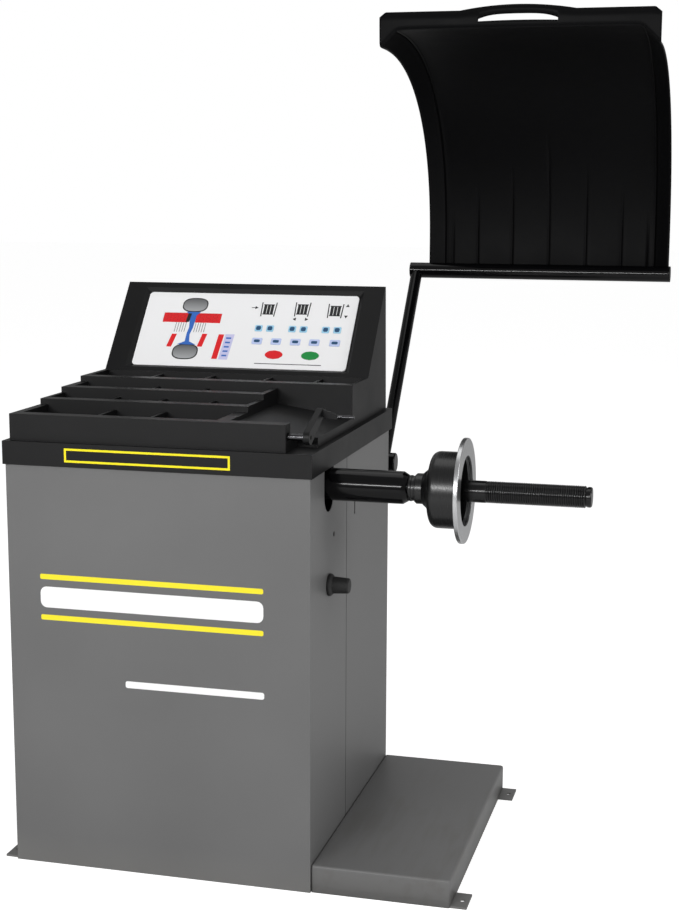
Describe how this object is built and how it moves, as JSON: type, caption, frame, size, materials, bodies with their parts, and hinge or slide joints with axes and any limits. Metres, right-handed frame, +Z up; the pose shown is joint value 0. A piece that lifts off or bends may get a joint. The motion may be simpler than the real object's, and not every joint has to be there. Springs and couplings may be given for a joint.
{
  "type": "wheel balancer machine",
  "caption": "Floor-standing wheel balancer: sheet-steel cabinet with a side platform, weight tray and sloped display, a flanged threaded spindle, a pull-out gauge and a swinging hood.",
  "frame": {"origin": "centre of the four floor-anchor holes, on the floor", "axes": "+X along the spindle, out of the cabinet towards the wheel; +Y to the rear; +Z up"},
  "size_m": [1.17, 1.033, 1.6308],
  "materials": {
    "machine_grey": "fine satin powder coat",
    "black_abs": "fine-textured black moulding",
    "panel_white": "printed overlay",
    "readout_lens": "dark red window",
    "circuit": "solder-masked board",
    "key_blue": "dome key",
    "key_red": "dome key",
    "key_green": "dome key",
    "zinc_steel": "zinc plated",
    "bare_steel": "turned and ground",
    "bright_steel": "polished",
    "frame_paint": "dark primer",
    "black_paint": "gloss black enamel",
    "black_oxide": "blackened and oiled",
    "cast_motor": "die-cast housing",
    "pulley_alloy": "turned",
    "belt_rubber": "ribbed belt",
    "bush_polymer": "acetal",
    "sensor_brass": "piezo stack",
    "encoder_plastic": "slotted disc",
    "hood_plastic": "formed black sheet",
    "black_rubber": "moulded cap"
  },
  "bodies": {
    "cabinet": {"base_pan": "frame_paint", "wheel_platform": "machine_grey", "floor_lugs": "machine_grey", "front_shell": "machine_grey", "rear_cover": "machine_grey", "cover_screws": "zinc_steel", "top_frame": "frame_paint", "top_cover": "black_abs", "head_rear_panel": "black_abs", "control_panel": "panel_white", "readouts": "readout_lens", "computer_board": "circuit", "support_post": "frame_paint", "vibration_frame": "frame_paint", "force_sensors": "sensor_brass", "spindle_housing": "black_paint", "spindle_bearings": "bare_steel", "encoder_sensor": "black_abs", "drive_motor": "cast_motor", "motor_bracket": "frame_paint", "drive_belt": "belt_rubber", "gauge_bushes": "bush_polymer", "gauge_sensor": "black_abs", "hood_bracket": "frame_paint", "hood_spring": "zinc_steel", "hood_switch": "black_abs", "accessory_peg": "black_abs", "power_switch": "black_abs", "mains_inlet": "black_abs"},
    "spindle": {"spindle_shaft": "bare_steel", "flange_cup": "black_oxide", "face_ring": "bright_steel", "threaded_shaft": "black_oxide", "spindle_pulley": "pulley_alloy", "encoder_disc": "encoder_plastic"},
    "motor_rotor": {"motor_pulley": "bare_steel"},
    "hood": {"hood_shaft": "frame_paint", "hood_arm": "black_paint", "hood_pipe": "black_paint", "pipe_caps": "black_rubber", "hood_guard": "hood_plastic", "hood_screws": "zinc_steel"},
    "gauge_slider": {"gauge_carriage": "pulley_alloy"},
    "gauge": {"gauge_rod": "bright_steel", "gauge_arm": "black_abs", "gauge_pin": "bright_steel"},
    "rocker": {"power_rocker": "key_red"},
    "stop_button_body": {"stop_button": "key_red"},
    "start_button_body": {"start_button": "key_green"},
    "key_distance_down_body": {"key_distance_down": "key_blue"},
    "key_distance_up_body": {"key_distance_up": "key_blue"},
    "key_width_down_body": {"key_width_down": "key_blue"},
    "key_width_up_body": {"key_width_up": "key_blue"},
    "key_diameter_down_body": {"key_diameter_down": "key_blue"},
    "key_diameter_up_body": {"key_diameter_up": "key_blue"},
    "key_unit_body": {"key_unit": "key_blue"},
    "key_fine_body": {"key_fine": "key_blue"},
    "key_mode_body": {"key_mode": "key_blue"},
    "key_split_body": {"key_split": "key_blue"},
    "key_recalc_body": {"key_recalc": "key_blue"}
  },
  "joints": [
    {"name": "spindle_spin", "type": "hinge", "parent": "cabinet", "child": "spindle", "pos_m": [0.1, -0.178, 0.745], "axis": [1, 0, 0], "continuous": true},
    {"name": "motor_spin", "type": "hinge", "parent": "cabinet", "child": "motor_rotor", "pos_m": [-0.05, 0.006, 0.452], "axis": [1, 0, 0], "continuous": true},
    {"name": "hood_swing", "type": "hinge", "parent": "cabinet", "child": "hood", "pos_m": [0.06, 0.351, 0.697], "axis": [1, 0, 0], "range_deg": [0, 43]},
    {"name": "gauge_slide", "type": "slide", "parent": "cabinet", "child": "gauge_slider", "axis": [1, 0, 0], "range_m": [0, 0.23]},
    {"name": "gauge_turn", "type": "hinge", "parent": "gauge_slider", "child": "gauge", "pos_m": [0, -0.286, 0.847], "axis": [1, 0, 0], "range_deg": [0, 115]},
    {"name": "rocker_tilt", "type": "hinge", "parent": "cabinet", "child": "rocker", "pos_m": [-0.42, 0.18, 0.615], "axis": [0, 1, 0], "range_deg": [0, 16]},
    {"name": "stop_button_press", "type": "slide", "parent": "cabinet", "child": "stop_button_body", "axis": [0, 0.7694, -0.6388], "range_m": [0, 0.0005], "stiffness_N_per_m": 1500},
    {"name": "start_button_press", "type": "slide", "parent": "cabinet", "child": "start_button_body", "axis": [0, 0.7694, -0.6388], "range_m": [0, 0.0005], "stiffness_N_per_m": 1500},
    {"name": "key_distance_down_press", "type": "slide", "parent": "cabinet", "child": "key_distance_down_body", "axis": [0, 0.7694, -0.6388], "range_m": [0, 0.0005], "stiffness_N_per_m": 1500},
    {"name": "key_distance_up_press", "type": "slide", "parent": "cabinet", "child": "key_distance_up_body", "axis": [0, 0.7694, -0.6388], "range_m": [0, 0.0005], "stiffness_N_per_m": 1500},
    {"name": "key_width_down_press", "type": "slide", "parent": "cabinet", "child": "key_width_down_body", "axis": [0, 0.7694, -0.6388], "range_m": [0, 0.0005], "stiffness_N_per_m": 1500},
    {"name": "key_width_up_press", "type": "slide", "parent": "cabinet", "child": "key_width_up_body", "axis": [0, 0.7694, -0.6388], "range_m": [0, 0.0005], "stiffness_N_per_m": 1500},
    {"name": "key_diameter_down_press", "type": "slide", "parent": "cabinet", "child": "key_diameter_down_body", "axis": [0, 0.7694, -0.6388], "range_m": [0, 0.0005], "stiffness_N_per_m": 1500},
    {"name": "key_diameter_up_press", "type": "slide", "parent": "cabinet", "child": "key_diameter_up_body", "axis": [0, 0.7694, -0.6388], "range_m": [0, 0.0005], "stiffness_N_per_m": 1500},
    {"name": "key_unit_press", "type": "slide", "parent": "cabinet", "child": "key_unit_body", "axis": [0, 0.7694, -0.6388], "range_m": [0, 0.0005], "stiffness_N_per_m": 1500},
    {"name": "key_fine_press", "type": "slide", "parent": "cabinet", "child": "key_fine_body", "axis": [0, 0.7694, -0.6388], "range_m": [0, 0.0005], "stiffness_N_per_m": 1500},
    {"name": "key_mode_press", "type": "slide", "parent": "cabinet", "child": "key_mode_body", "axis": [0, 0.7694, -0.6388], "range_m": [0, 0.0005], "stiffness_N_per_m": 1500},
    {"name": "key_split_press", "type": "slide", "parent": "cabinet", "child": "key_split_body", "axis": [0, 0.7694, -0.6388], "range_m": [0, 0.0005], "stiffness_N_per_m": 1500},
    {"name": "key_recalc_press", "type": "slide", "parent": "cabinet", "child": "key_recalc_body", "axis": [0, 0.7694, -0.6388], "range_m": [0, 0.0005], "stiffness_N_per_m": 1500}
  ],
  "couplings": [
    {"joint": "motor_spin", "follows": "spindle_spin", "ratio": 2.8978}
  ]
}
